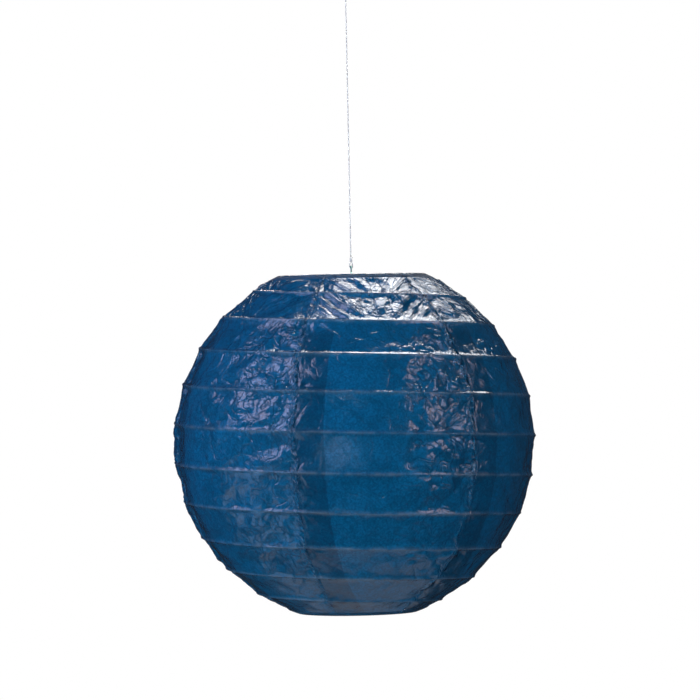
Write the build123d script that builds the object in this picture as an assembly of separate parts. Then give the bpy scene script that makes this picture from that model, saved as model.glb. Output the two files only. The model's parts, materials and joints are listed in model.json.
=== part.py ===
from build123d import *

import os
from math import asin, atan2, cos, degrees, radians, sin, sqrt, tan

# Accordion paper lantern, hung on a clear nylon line. All sizes are in millimetres.
# Frame: +Z up, the front of the lantern faces -Y, and the origin is the bearing point of the top
# loop, which is where a hook or nail touches the inside of the loop. Azimuths are in degrees,
# counter-clockwise from +X seen from above.

# ---- driving dimensions -------------------------------------------------------------------------

# shade
SHADE_DIAMETER = 250.0      # outside of the paper ball
TOP_MOUTH_DIAMETER = 102.8  # outside of the hem round the top ring
BOTTOM_MOUTH_DIAMETER = 83.6
PAPER = 0.3                 # one layer of paper, with its glue and its crumple
LAYER_GAP = 0.1             # between two layers that lie on each other
GORE_COUNT = 6
FIRST_SEAM_AZIMUTH = 251.3  # the exposed edge of the first gore
SEAM_GAP_ANGLE = 0.1        # between the outer layers of two neighbours
TAB_WIDTH = 20.0            # of the strip that is tucked under the next gore
JOGGLE_ANGLE = 0.6          # over which a gore steps in to become its tab
HEM_LENGTH = 7.0            # from a ring's centre to the glued edge of the hem
HEM_EDGE_GAP = 0.15         # between that edge and the inside of the paper

# wires
RING_WIRE = 1.6
RING_FIT = 0.1              # between a ring and the paper folded round it
RIB_WIRE = 0.8
RIB_FIT = 0.25              # between the spiral rib and the paper that is glued to it
RIB_PITCH = 27.5            # from turn to turn, along the paper
RIB_HEM_CLEARANCE = 1.5     # between the ends of the spiral and the hems
RIB_START_AZIMUTH = 288.0   # where the spiral's line meets the top ring
EXPANDER_WIRE = 1.1
EXPANDER_BEND = 1.5         # centre-line radius of its tight bends
SHOULDER_BEND = 12.0        # and of the gentle bend at each shoulder
EXPANDER_FIT = 0.3          # between the expander and the hemmed rings
HOOK_REACH = 4.3            # how far each hairpin hook reaches past the centre of its ring
BEND_STRAIGHT = 0.2         # straight wire between two tight bends
SHOULDER_DROP = 22.0        # from the top hooks to the straight part of the legs
FOOT_LENGTH = 1.0           # of the wire ends below the bottom ring's centre
EYE_RADIUS = 3.7            # centre line of the bend in the middle of the bar
EYE_FLAT = 0.04             # of that bend's top

# nylon line
LINE_DIAMETER = 0.7
LINE_LENGTH = 180.0         # between the two knots
LINE_END_GAP = 0.3          # between the swinging line and the top knot
TOP_LOOP_RADIUS = 5.0       # centre line
TOP_LOOP_LENGTH = 17.0      # between the centres of its wide and its narrow bend
LOWER_LOOP_LENGTH = 4.2
LOWER_LOOP_FIT = 0.2        # between the loop and the expander's eye
LOOP_NECK_RADIUS = 0.5      # centre line of the narrow bend, inside the knot
KNOT_DIAMETER = 1.8
KNOT_NECK_DIAMETER = 1.2    # of a knot's flat ends
KNOT_LENGTH = 3.2
KNOT_GRIP = 1.1             # of a loop's neck inside its knot

# ---- places worked out from them ----------------------------------------------------------------

ball_radius = SHADE_DIAMETER / 2
hem_radius = RING_WIRE / 2 + RING_FIT + PAPER             # outside of the paper round a ring
ring_reach = ball_radius - hem_radius                     # from the ball's centre to a ring's wire
top_ring_radius = TOP_MOUTH_DIAMETER / 2 - hem_radius
bottom_ring_radius = BOTTOM_MOUTH_DIAMETER / 2 - hem_radius
top_ring_height = sqrt(ring_reach ** 2 - top_ring_radius ** 2)
bottom_ring_height = -sqrt(ring_reach ** 2 - bottom_ring_radius ** 2)
tab_outside = ball_radius - PAPER - LAYER_GAP
tab_inside = tab_outside - PAPER
hook_near = hem_radius + EXPANDER_FIT + EXPANDER_WIRE / 2  # from a ring's centre to a hook's near arm
hook_far = hook_near + 2 * EXPANDER_BEND + BEND_STRAIGHT   # and to its far arm


def polar(radius, angle, centre=(0.0, 0.0)):
    """The point at a radius and an angle, in degrees, about a centre."""
    return (centre[0] + radius * cos(radians(angle)), centre[1] + radius * sin(radians(angle)))


def ring_place(side):
    """The centre of the top (1) or bottom (-1) ring, seen from the ball's centre, and its direction."""
    radius, height = {
        1: (top_ring_radius, top_ring_height),
        -1: (bottom_ring_radius, bottom_ring_height),
    }[side]
    return (radius, height), degrees(atan2(height, radius))


def hem_tail_angle(side):
    """The direction, from the ring, of the hem's underside, where the fold leaves the ring."""
    closing = 2 * (hem_radius - PAPER) - HEM_EDGE_GAP - HEM_LENGTH ** 2 / (2 * ball_radius)
    turn = 180 + degrees(asin(closing / HEM_LENGTH))
    return ring_place(side)[1] + side * turn


def hook_point(side, offset, y):
    """The point at y of a hook's arm, which runs along the hem, at an offset from the ring's centre."""
    centre, _ = ring_place(side)
    tail = hem_tail_angle(side)
    point = polar(offset, tail, centre)
    return (y, point[1] + (y - point[0]) * tan(radians(tail + side * 90)))


bar_end = top_ring_radius - hook_near       # half the length of the expander's top bar
bar_rise = hook_point(1, hook_near, bar_end)[1] + 2 * EXPANDER_BEND + BEND_STRAIGHT
eye_rise = bar_rise + EYE_RADIUS + EXPANDER_BEND + BEND_STRAIGHT

# heights down the line, from the bearing point at 0
top_loop_centre = LINE_DIAMETER / 2 - TOP_LOOP_RADIUS
top_knot_top = top_loop_centre - TOP_LOOP_LENGTH + KNOT_GRIP
top_knot_bottom = top_knot_top - KNOT_LENGTH
line_top = top_knot_bottom - LINE_END_GAP
line_bottom = line_top - LINE_LENGTH
lower_knot_bottom = line_bottom - KNOT_LENGTH
eye_height = lower_knot_bottom + KNOT_GRIP - LOWER_LOOP_LENGTH
ball_centre = eye_height - eye_rise

os.makedirs("parts", exist_ok=True)


def save(node, shape):
    """Write one sub-part, and print its box."""
    export_step(shape, f"parts/{node}.step")
    box = shape.bounding_box()
    print(f"{node:18s} solids {len(shape.solids())}  z {box.min.Z:8.2f} to {box.max.Z:8.2f}")


def round_wire(path, diameter):
    """A round wire along a path."""
    section = Plane(origin=path @ 0, z_dir=path % 0) * Circle(diameter / 2)
    return sweep(section, path=path)


# ---- gores --------------------------------------------------------------------------------------
# Their sections lie in the XZ plane, with the ball's centre at (0, 0).


def band(inside, outside, start, end, centre=(0.0, 0.0)):
    """A flat curved strip between two radii and two angles about a centre."""
    middle = (start + end) / 2
    outer = ThreePointArc(*(polar(outside, a, centre) for a in (start, middle, end)))
    inner = ThreePointArc(*(polar(inside, a, centre) for a in (start, middle, end)))
    ends = [Line(inner @ 0, outer @ 0), Line(inner @ 1, outer @ 1)]
    return make_face([outer, inner, *ends])


def hem(side):
    """The paper folded over a ring, and its tail, which closes on the inside of the wall."""
    centre, direction = ring_place(side)
    tail = hem_tail_angle(side)
    fold = band(hem_radius - PAPER, hem_radius, direction, tail, centre)
    along = tail + side * 90
    inner = polar(hem_radius - PAPER, tail, centre)
    outer = polar(hem_radius, tail, centre)
    corners = [inner, outer, polar(HEM_LENGTH, along, outer), polar(HEM_LENGTH, along, inner)]
    return fold + make_face(Polyline(*corners, close=True))


def turned(section, start, end):
    """A section turned about the lantern's axis from one azimuth to another."""
    return Rot(0, 0, start) * revolve(Plane.XZ * section, axis=Axis.Z, revolution_arc=end - start)


def make_gore():
    """One gore with its exposed edge at azimuth 0 and its tab beyond the next seam."""
    low, high = ring_place(-1)[1], ring_place(1)[1]
    hem_angle = degrees((HEM_LENGTH + RIB_HEM_CLEARANCE) / ball_radius)
    tab_low, tab_high = low + hem_angle, high - hem_angle
    wall = band(ball_radius - PAPER, ball_radius, low, high) + hem(1) + hem(-1)
    joggle = wall + band(tab_inside, ball_radius - PAPER, tab_low, tab_high)
    tab = band(tab_inside, tab_outside, tab_low, tab_high)

    width = 360 / GORE_COUNT
    first, last = SEAM_GAP_ANGLE / 2, width - SEAM_GAP_ANGLE / 2
    reach = degrees(asin(TAB_WIDTH / (tab_inside * cos(radians(max(tab_high, -tab_low))))))
    strip = Rot(0, 0, width) * Pos(ball_radius, 0, 0) * Box(
        SHADE_DIAMETER, 2 * TAB_WIDTH, 2 * SHADE_DIAMETER
    )
    flap = turned(tab, last, width + reach + 1) & strip
    return turned(wall, first, last - JOGGLE_ANGLE) + turned(joggle, last - JOGGLE_ANGLE, last) + flap


gore = Pos(0, 0, ball_centre) * make_gore()
for number in range(GORE_COUNT):
    seam = FIRST_SEAM_AZIMUTH + number * 360 / GORE_COUNT
    save(f"gore_{number + 1}", Rot(0, 0, seam) * gore)

# ---- rings and the spiral rib -------------------------------------------------------------------

for name, radius, height in (
    ("top_rim_ring", top_ring_radius, top_ring_height),
    ("bottom_rim_ring", bottom_ring_radius, bottom_ring_height),
):
    save(name, Pos(0, 0, ball_centre + height) * Torus(radius, RING_WIRE / 2))

RIB_ARC = 30.0  # azimuth that one arc of the spiral turns through


def make_rib():
    """The one continuous spiral wire that holds the paper out, as a chain of tangent arcs."""
    radius = tab_inside - RIB_FIT - RIB_WIRE / 2
    top_angle, bottom_angle = ring_place(1)[1], ring_place(-1)[1]
    hidden = HEM_LENGTH + RIB_HEM_CLEARANCE
    visible = ball_radius * radians(top_angle - bottom_angle) - 2 * hidden

    def place(along):
        """The spiral's point at a distance down the paper from the top ring."""
        latitude = radians(top_angle) - along / ball_radius
        azimuth = radians(RIB_START_AZIMUTH + 360 * along / RIB_PITCH)
        flat = radius * cos(latitude)
        return Vector(flat * cos(azimuth), flat * sin(azimuth), ball_centre + radius * sin(latitude))

    count = round(visible / RIB_PITCH * 360 / RIB_ARC)
    heading = place(hidden + visible / count / 100) - place(hidden)
    arcs = []
    for step in range(count):
        start, end = (place(hidden + visible * n / count) for n in (step, step + 1))
        arcs.append(TangentArc(start, end, tangent=heading))
        heading = arcs[-1] % 1
    return round_wire(Wire([arc.edge() for arc in arcs]), RIB_WIRE)


save("rib_spiral", make_rib())

# ---- expander -----------------------------------------------------------------------------------
# One wire bent in the YZ plane: an eye in the middle of the top bar, a hairpin hook under the top
# ring on each side, two legs, and a hairpin hook and a foot at the bottom ring on each side.


def make_expander():
    """The wire that holds the two rings apart."""
    leg = bottom_ring_radius - hook_near
    top_tip = top_ring_radius + HOOK_REACH
    bottom_tip = bottom_ring_radius + HOOK_REACH
    shoulder = hook_point(1, hook_far, bar_end)
    corners = [  # from the eye down one side: y, height above the ball's centre, bend radius
        (EYE_RADIUS, eye_rise, EYE_RADIUS - EYE_FLAT / 2),
        (EYE_RADIUS, bar_rise, EXPANDER_BEND),
        (bar_end, bar_rise, EXPANDER_BEND),
        (*hook_point(1, hook_near, bar_end), EXPANDER_BEND),
        (*hook_point(1, hook_near, top_tip), EXPANDER_BEND),
        (*hook_point(1, hook_far, top_tip), EXPANDER_BEND),
        (*shoulder, EXPANDER_BEND),
        (leg, shoulder[1] - SHOULDER_DROP, SHOULDER_BEND),
        (*hook_point(-1, hook_far, leg), EXPANDER_BEND),
        (*hook_point(-1, hook_far, bottom_tip), EXPANDER_BEND),
        (*hook_point(-1, hook_near, bottom_tip), EXPANDER_BEND),
        (*hook_point(-1, hook_near, leg), EXPANDER_BEND),
        (leg, bottom_ring_height - FOOT_LENGTH, None),
    ]
    points = [(0, y, ball_centre + z) for y, z, _ in corners]
    other_side = [(0, -y, z) for _, y, z in points[::-1]]
    bends = [bend for _, _, bend in corners[:-1]]
    path = FilletPolyline(*other_side, *points, radius=bends[::-1] + bends)
    return round_wire(path, EXPANDER_WIRE)


save("expander", make_expander())

# ---- nylon line, its loops and its knots --------------------------------------------------------


def teardrop(wide, narrow, length, height, side):
    """A loop in the XZ plane: a wide bend at a height, and a narrow one below (-1) or above (1)."""
    lean = degrees(asin((wide - narrow) / length))
    wide_centre, narrow_centre = (0.0, 0.0), (0.0, side * length)
    right = side * lean
    points = {
        "wide": [polar(wide, a, wide_centre) for a in (right, -90 * side, 180 - right)],
        "narrow": [polar(narrow, a, narrow_centre) for a in (180 - right, 90 * side, right)],
    }
    wide_bend = ThreePointArc(*points["wide"])
    narrow_bend = ThreePointArc(*points["narrow"])
    sides = [Line(wide_bend @ 1, narrow_bend @ 0), Line(narrow_bend @ 1, wide_bend @ 0)]
    outline = Wire([wide_bend.edge(), sides[0].edge(), narrow_bend.edge(), sides[1].edge()])
    return Pos(0, 0, height) * (Plane.XZ * outline)


def make_knot(bottom):
    """A small barrel-shaped knot with flat ends."""
    half, belly, neck = KNOT_LENGTH / 2, KNOT_DIAMETER / 2, KNOT_NECK_DIAMETER / 2
    side = ThreePointArc((neck, -half), (belly, 0), (neck, half))
    outline = [side, Line((0, -half), (neck, -half)), Line((neck, half), (0, half)), Line((0, half), (0, -half))]
    return Pos(0, 0, bottom + half) * revolve(Plane.XZ * make_face(outline), axis=Axis.Z)


top_loop = teardrop(TOP_LOOP_RADIUS, LOOP_NECK_RADIUS, TOP_LOOP_LENGTH, top_loop_centre, -1)
lower_loop_radius = (EXPANDER_WIRE + LINE_DIAMETER) / 2 + LOWER_LOOP_FIT
lower_loop = teardrop(lower_loop_radius, LOOP_NECK_RADIUS, LOWER_LOOP_LENGTH, eye_height, 1)
save("top_loop", round_wire(top_loop, LINE_DIAMETER))
save("top_knot", make_knot(top_knot_bottom))
save("hanging_line", Pos(0, 0, (line_top + line_bottom) / 2) * Cylinder(LINE_DIAMETER / 2, LINE_LENGTH))
save("lower_knot", make_knot(lower_knot_bottom))
save("lower_loop", round_wire(lower_loop, LINE_DIAMETER))

print(f"ball centre z {ball_centre:.3f}, top ring r {top_ring_radius:.3f} z {ball_centre + top_ring_height:.3f}")
print(f"bottom ring r {bottom_ring_radius:.3f} z {ball_centre + bottom_ring_height:.3f}")
print(f"line {line_top:.3f} to {line_bottom:.3f}, eye z {eye_height:.3f}, bar z {ball_centre + bar_rise:.3f}")
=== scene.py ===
# %% [markdown]
# # An accordion paper lantern
# A round paper lantern is a bag of six glued paper gores, pushed out by one long spiral wire. Two
# wire rings hold its mouths round, and a bent wire expander keeps the rings apart. The imported model
# already has every piece at its size and place, so this script only gives the pieces their looks.
# It starts by loading that model as a fixed frame.

# %% Load the frame
import json
from math import asin, atan2, cos, pi, radians, sin, sqrt

import bpy
import numpy as np
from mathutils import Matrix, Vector


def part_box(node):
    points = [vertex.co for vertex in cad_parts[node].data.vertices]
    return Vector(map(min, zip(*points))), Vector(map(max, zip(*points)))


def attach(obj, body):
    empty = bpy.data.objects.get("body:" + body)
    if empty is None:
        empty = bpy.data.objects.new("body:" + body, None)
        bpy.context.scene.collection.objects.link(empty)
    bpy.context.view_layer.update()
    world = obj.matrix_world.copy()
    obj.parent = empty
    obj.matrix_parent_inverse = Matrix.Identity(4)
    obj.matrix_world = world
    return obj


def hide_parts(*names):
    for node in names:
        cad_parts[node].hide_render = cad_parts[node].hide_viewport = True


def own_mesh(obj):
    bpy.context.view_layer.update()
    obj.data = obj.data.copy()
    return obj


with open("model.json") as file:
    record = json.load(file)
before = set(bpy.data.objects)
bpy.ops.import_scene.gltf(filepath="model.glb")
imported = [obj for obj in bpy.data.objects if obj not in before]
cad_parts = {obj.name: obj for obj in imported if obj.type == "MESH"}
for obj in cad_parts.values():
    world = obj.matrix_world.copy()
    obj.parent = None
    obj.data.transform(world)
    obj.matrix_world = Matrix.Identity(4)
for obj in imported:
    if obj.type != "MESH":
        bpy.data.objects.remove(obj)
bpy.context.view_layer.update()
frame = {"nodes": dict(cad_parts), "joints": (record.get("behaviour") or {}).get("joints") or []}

MM = 0.001  # the frame is in metres, and the paper's own maths is in millimetres

# %% [markdown]
# ## Measures
# Every place comes from the frame, so that a change to the model moves the looks with it. Typed
# numbers would be shorter, but would go wrong without a word. Both rings lie just inside the paper
# ball, folded into its hems, so their radii and heights give the ball's centre. The paper's top edge
# lies one hem radius above the top ring, and the ball is that much larger than its rings' reach.

# %% Measure the rings and the ball
def ring_size(node):
    """A ring's centre-line radius and its height, in millimetres."""
    low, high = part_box(node)
    wire = (high.z - low.z) / 2
    return (high.x - wire) / MM, (high.z + low.z) / 2 / MM


top_radius, top_height = ring_size("top_rim_ring")
bottom_radius, bottom_height = ring_size("bottom_rim_ring")
square_gap = top_radius ** 2 + top_height ** 2 - bottom_radius ** 2 - bottom_height ** 2
ball_centre = square_gap / (2 * (top_height - bottom_height))
ring_reach = sqrt(top_radius ** 2 + (top_height - ball_centre) ** 2)
hem_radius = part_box("gore_1")[1].z / MM - top_height
ball_radius = ring_reach + hem_radius
print(f"ball radius {ball_radius:.2f} mm, centre {ball_centre:.2f} mm, hem radius {hem_radius:.2f} mm")

# %% [markdown]
# ## Camera
# The lantern is looked at from the front, from a little above its middle. A long lens from far away
# keeps its outline close to a flat drawing. A short one from close by would swell its near side. It
# hangs a touch out of plumb, and the camera's small roll stands for that. The line comes straight
# after, because its length is checked against what this camera sees.

# %% Place the camera
CAMERA_DISTANCE = 2.9
CAMERA_RISE = 0.0625        # above the ball's centre
CAMERA_SIDESTEP = -0.0019
CAMERA_LENS = 216.5         # on a 36 mm sensor
CAMERA_ROLL = radians(1.15)

camera_data = bpy.data.cameras.new("camera")
camera_data.lens = CAMERA_LENS
camera = bpy.data.objects.new("camera", camera_data)
camera.location = (CAMERA_SIDESTEP, -CAMERA_DISTANCE, ball_centre * MM + CAMERA_RISE)
camera.rotation_euler = (pi / 2, CAMERA_ROLL, 0)
bpy.context.scene.collection.objects.link(camera)
bpy.context.scene.camera = camera
print(f"camera {CAMERA_DISTANCE} m away")

# %% [markdown]
# ## The nylon line
# The lantern hangs on one length of clear nylon, pulled straight by its weight. A small loop goes
# through the expander's eye below, and a larger one goes over a hook above. Nylon only bends
# smoothly, so each stretch follows a NURBS line that a few control points pull on: some in a row
# for the straight run, corners round a drawn-out teardrop for a loop, and a helix for a knot, which
# is the line wound round its own neck. A curve with a bevel could draw them too. A mesh is built
# round the line instead, because then its section is carried along without twisting.

# %% Make a round tube along points
ASKEW = (0.31, 0.87, 0.38)  # a direction that none of the tubes starts in


def add_mesh(name, points, faces):
    """A smooth-shaded object from points in metres."""
    mesh = bpy.data.meshes.new(name)
    mesh.from_pydata([tuple(p) for p in points], [], faces)
    mesh.shade_smooth()
    obj = bpy.data.objects.new(name, mesh)
    bpy.context.scene.collection.objects.link(obj)
    return obj


def tube(name, centres, radius, sides=12, closed=False):
    """A round tube along points in metres, whose section is carried along without twisting."""
    centres = np.asarray(centres, float)
    if closed:
        ahead, behind = np.roll(centres, -1, axis=0), np.roll(centres, 1, axis=0)
        tangents = ahead - behind
    else:
        tangents = np.gradient(centres, axis=0)
    tangents /= np.linalg.norm(tangents, axis=1)[:, None]
    across = np.cross(tangents[0], ASKEW)
    rings = []
    for centre, tangent in zip(centres, tangents):
        across = across - tangent * (across @ tangent)
        across /= np.linalg.norm(across)
        other = np.cross(tangent, across)
        turns = np.arange(sides) * 2 * pi / sides
        rings.append(centre + radius * (np.outer(np.cos(turns), across) + np.outer(np.sin(turns), other)))
    count = len(centres)
    points = np.concatenate(rings)
    faces = []
    for i in range(count if closed else count - 1):
        here, there = i * sides, (i + 1) % count * sides
        for j in range(sides):
            k = (j + 1) % sides
            faces.append((here + j, here + k, there + k, there + j))
    if not closed:
        faces.append(tuple(range(sides))[::-1])
        faces.append(tuple(range((count - 1) * sides, count * sides)))
    return add_mesh(name, points, faces)


# %% Read the points of a smooth route
ROUTE_STEPS = 12            # between two control points


def smooth_route(control_points, closed=False):
    """The points of the smooth NURBS line that some control points pull on."""
    curve = bpy.data.curves.new("route", "CURVE")
    curve.dimensions = "3D"
    curve.resolution_u = ROUTE_STEPS
    spline = curve.splines.new("NURBS")
    spline.points.add(len(control_points) - 1)
    for point, place in zip(spline.points, control_points):
        point.co = (*place, 1)
    spline.order_u = 3
    spline.use_cyclic_u, spline.use_endpoint_u = closed, not closed
    route = bpy.data.objects.new("route", curve)
    mesh = bpy.data.meshes.new_from_object(route)
    points = [vertex.co.copy() for vertex in mesh.vertices]
    bpy.data.meshes.remove(mesh)
    bpy.data.curves.remove(curve)
    return points


# %% Lay the straight run of the line
LINE_CONTROLS = 4
line_low, line_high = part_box("hanging_line")
line_width = line_high.x - line_low.x
line_path = smooth_route([(0, 0, z) for z in np.linspace(line_low.z, line_high.z, LINE_CONTROLS)])
line = tube("line", line_path, line_width / 2)

# %% Bend the loops
LOOP_NECK = 0.5 * MM        # radius of the narrow bend inside the knot


def loop_points(node, upward):
    """Corners round a teardrop that fills a CAD loop's box, with its narrow neck above or below."""
    low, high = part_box(node)
    inner = line_width / 2
    wide = (high.x - low.x) / 2 - inner
    wide_height, neck_height, side = low.z + inner + wide, high.z - inner - LOOP_NECK, 1
    if not upward:
        wide_height, neck_height, side = high.z - inner - wide, low.z + inner + LOOP_NECK, -1
    # the smooth line touches the middle of each side, so corners lie outside the bend they go round
    bends = [(wide / cos(pi / 8), wide_height, turn) for turn in (-157.5, -112.5, -67.5, -22.5)]
    bends += [(LOOP_NECK / cos(pi / 4), neck_height, turn) for turn in (45, 135)]
    return [
        (reach * cos(radians(turn)), 0, height + side * reach * sin(radians(turn)))
        for reach, height, turn in bends
    ]


# %% Wind the knots
KNOT_TURNS = 3
KNOT_CORNERS = 8            # control points in each turn
CUT_END = (0.5 * MM, 0.4 * MM, 0.3 * MM)   # how far the cut end stands off the last turn
DRAWN_TIGHT = 0.9           # of the line's thickness that it keeps in a knot


def knot_points(node):
    """The line wound round its own neck, with a short cut end."""
    low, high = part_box(node)
    winding = (high.x - low.x - line_width) / 2
    start, rise = low.z + line_width / 2, high.z - low.z - line_width
    count = KNOT_TURNS * KNOT_CORNERS
    points = []
    for corner in range(count + 1):
        turn = corner * 2 * pi / KNOT_CORNERS
        points.append((winding * cos(turn), winding * sin(turn), start + rise * corner / count))
    return points + [(winding + CUT_END[0], CUT_END[1], start + rise + CUT_END[2])]


# %% Put the nylon pieces together
pieces_of_line = {"hanging_line": line}
for end, upward in (("top", False), ("lower", True)):
    loop = smooth_route(loop_points(f"{end}_loop", upward), closed=True)
    pieces_of_line[f"{end}_loop"] = tube(f"{end}_loop_nylon", loop, line_width / 2, closed=True)
    wound = smooth_route(knot_points(f"{end}_knot"))
    pieces_of_line[f"{end}_knot"] = tube(f"{end}_knot_nylon", wound, line_width / 2 * DRAWN_TIGHT)
for node, piece in pieces_of_line.items():
    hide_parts(node)
    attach(piece, "hanger" if node.startswith("top") else "line")
print(len(pieces_of_line), "nylon pieces")

# %% [markdown]
# ## How the paper lies
# A place on the paper has two numbers: its azimuth, counter-clockwise from +X, and how far down the
# paper it is from the top ring, in millimetres. One rib winds down the ball at a fixed pitch, so
# each turn of it is a straight line in those two numbers. A plain sphere with a texture on it would
# be round everywhere. Real paper is round only along the wire, where it is a little proud. Between
# two turns it is pulled straight, like the side of a cone, with a slight dip, and that is built here.

# %% Give the paper's measures
PAPER = 0.25             # one layer, with its glue
TAB_GAP = 0.12           # between a tab and the next gore over it
RIB_PITCH = 27.5
RIB_START_AZIMUTH = 288.0
RIB_WIRE_RADIUS = 0.4
HEM_LENGTH = 7.0         # of paper folded back inside each ring
RIB_HEM_CLEARANCE = 1.5
GORE_COUNT = 6
GORE_WIDTH = 360.0 / GORE_COUNT
FIRST_SEAM_AZIMUTH = 251.3
TAB_WIDTH = 20.0         # glued under the next gore
LAYER_DROP = PAPER + TAB_GAP

top_latitude = atan2(top_height - ball_centre, top_radius)
bottom_latitude = atan2(bottom_height - ball_centre, bottom_radius)
paper_length = ball_radius * (top_latitude - bottom_latitude)
rib_first = HEM_LENGTH + RIB_HEM_CLEARANCE
rib_last = paper_length - rib_first
# the wall starts and ends level with the rings' centres
top_turn = asin((top_height - ball_centre) / ball_radius)
bottom_turn = asin((bottom_height - ball_centre) / ball_radius)
wall_top = ball_radius * (top_latitude - top_turn)
wall_bottom = paper_length - ball_radius * (bottom_turn - bottom_latitude)
print(f"paper {paper_length:.1f} mm from ring to ring")
print(f"{(rib_last - rib_first) / RIB_PITCH:.2f} turns of rib")


def smooth(low, high, x):
    """0 below low, 1 above high, and an even slope between."""
    share = np.clip((x - low) / (high - low), 0, 1)
    return share * share * (3 - 2 * share)


def on_ball(azimuth, down, radius):
    """Points at azimuths in degrees, distances down the paper and radii, in millimetres."""
    latitude = top_latitude - down / ball_radius
    flat = radius * np.cos(latitude)
    turn = np.radians(azimuth)
    height = ball_centre + radius * np.sin(latitude)
    return np.stack((flat * np.cos(turn), flat * np.sin(turn), height), -1)


# %% Let a rib hold the paper
RIB_BURIED = 0.6         # the bands meet this far under the top of a rib
RIB_BEAD = 1.15          # half-width of the paper bead over a rib
RIB_HOLD = 2.2           # a rib and its glue keep the paper smooth this far
RIB_FADE = 0.8           # the rib's ends let the paper go over this length
RIB_END_MARGIN = 2.0     # past its ends, the next turn of the rib holds the band instead


def rib_strength(down):
    """1 along the rib, and 0 past its two ends."""
    return smooth(rib_first, rib_first + RIB_FADE, down) * (1 - smooth(rib_last - RIB_FADE, rib_last, down))


def turn_of_rib(azimuth, down):
    """Which turn of the rib is next above each place, and how far down the paper that turn is."""
    phase = (azimuth - RIB_START_AZIMUTH) % 360 / 360
    turn = np.floor(down / RIB_PITCH - phase)
    return turn, RIB_PITCH * (turn + phase)


def straight_between(down, upper, lower, upper_radius, lower_radius):
    """The radius of a straight line of paper from one support to the next, in polar form."""
    sweep, before = (lower - upper) / ball_radius, (down - upper) / ball_radius
    return upper_radius * lower_radius * np.sin(sweep) / (
        upper_radius * np.sin(before) + lower_radius * np.sin(sweep - before)
    )


# %% Shape the bands between the ribs
BAND_DIP = 0.35
DIP_SQUARENESS = 5       # how evenly a band dips, against only in its middle
SHORTEST_BAND = 0.5
GLUE_REACH = 3.5         # the hems' glue keeps the paper smooth this much further


def band_at(azimuth, down, dip):
    """The paper's radius, how free it is to crumple, and how near to a rib's crest it is."""
    above = turn_of_rib(azimuth, down)[1]
    below = above + RIB_PITCH
    hem_top, hem_bottom = HEM_LENGTH, paper_length - HEM_LENGTH
    radius, freedom = np.zeros_like(down), np.zeros_like(down)
    for use_above in (True, False):
        for use_below in (True, False):
            share = (rib_strength(above) if use_above else 1 - rib_strength(above)) * (
                rib_strength(below) if use_below else 1 - rib_strength(below)
            )
            next_up = np.maximum(above - RIB_PITCH, hem_top)
            next_down = np.minimum(below + RIB_PITCH, hem_bottom)
            before_last, after_first = above < rib_last - RIB_END_MARGIN, below > rib_first + RIB_END_MARGIN
            upper = above if use_above else np.where(before_last, hem_top, next_up)
            lower = below if use_below else np.where(after_first, hem_bottom, next_down)
            span = np.maximum(lower - upper, SHORTEST_BAND)
            place = np.clip((down - upper) / span, 0, 1)
            ends = [ball_radius - RIB_BURIED * flag for flag in (use_above, use_below)]
            flat = straight_between(upper + place * span, upper, upper + span, *ends)
            hollow = dip * (1 - np.abs(2 * place - 1) ** DIP_SQUARENESS) * span / RIB_PITCH
            radius += share * (flat - hollow)
            room = np.minimum(place, 1 - place) * span
            freedom += share * (1 - np.exp(-(room / RIB_HOLD) ** 2))
    freedom *= smooth(0, GLUE_REACH, down - hem_top) * smooth(0, GLUE_REACH, hem_bottom - down)
    bead = rib_strength(above) * np.exp(-((down - above) / RIB_BEAD) ** 2)
    bead += rib_strength(below) * np.exp(-((down - below) / RIB_BEAD) ** 2)
    in_hem = (down <= hem_top) | (down >= hem_bottom)
    radius = np.where(in_hem, ball_radius, radius + RIB_BURIED * bead)
    return radius, np.where(in_hem, 0, freedom), np.where(in_hem, 0, np.minimum(bead, 1))


middle_radius = band_at(FIRST_SEAM_AZIMUTH, np.array([paper_length / 2]), BAND_DIP)[0][0]
print(f"the paper is {ball_radius - middle_radius:.2f} mm inside the ball, halfway down the first seam")


# %% [markdown]
# ## Creases
# Crumpled paper isn't wavy. It is flat facets with sharp folds between them, because paper bends
# but doesn't stretch. A cloth simulation could crumple it, but stiff paper glued at every turn
# hardly moves, and needs steps too small to run in time, so the folds are worked out. Noise with
# that look takes random heights on a grid and joins them with flat triangles instead of a smooth
# blend. Bending the grid first hides its regular lines. Both kinds of noise are read at a point in
# space, so neighbouring gores get one field with no break at a seam.

# %% Make smooth noise
WAVES = 9                # added up in every direction
SWELL_GAIN = 0.9


def swell(points, cell, seed):
    """Smooth noise from about -1 to 1, with hills about a cell wide."""
    rng = np.random.default_rng(seed)
    total = np.zeros(len(points))
    for _ in range(WAVES):
        direction = rng.normal(size=3)
        direction *= rng.uniform(0.6, 1.4) * pi / cell / np.linalg.norm(direction)
        total += np.sin(points @ direction + rng.uniform(0, 2 * pi))
    return total / sqrt(WAVES) * SWELL_GAIN


# %% Make creased noise
HEIGHTS = 4096           # a power of two, so that a mask picks one of them
MIXERS = (73856093, 19349663, 83492791)   # large primes that scatter neighbouring corners
WARP_CELLS = 2.2         # width of the bends in the grid
GRID_SHIFT = 50          # keeps corners away from zero


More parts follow.
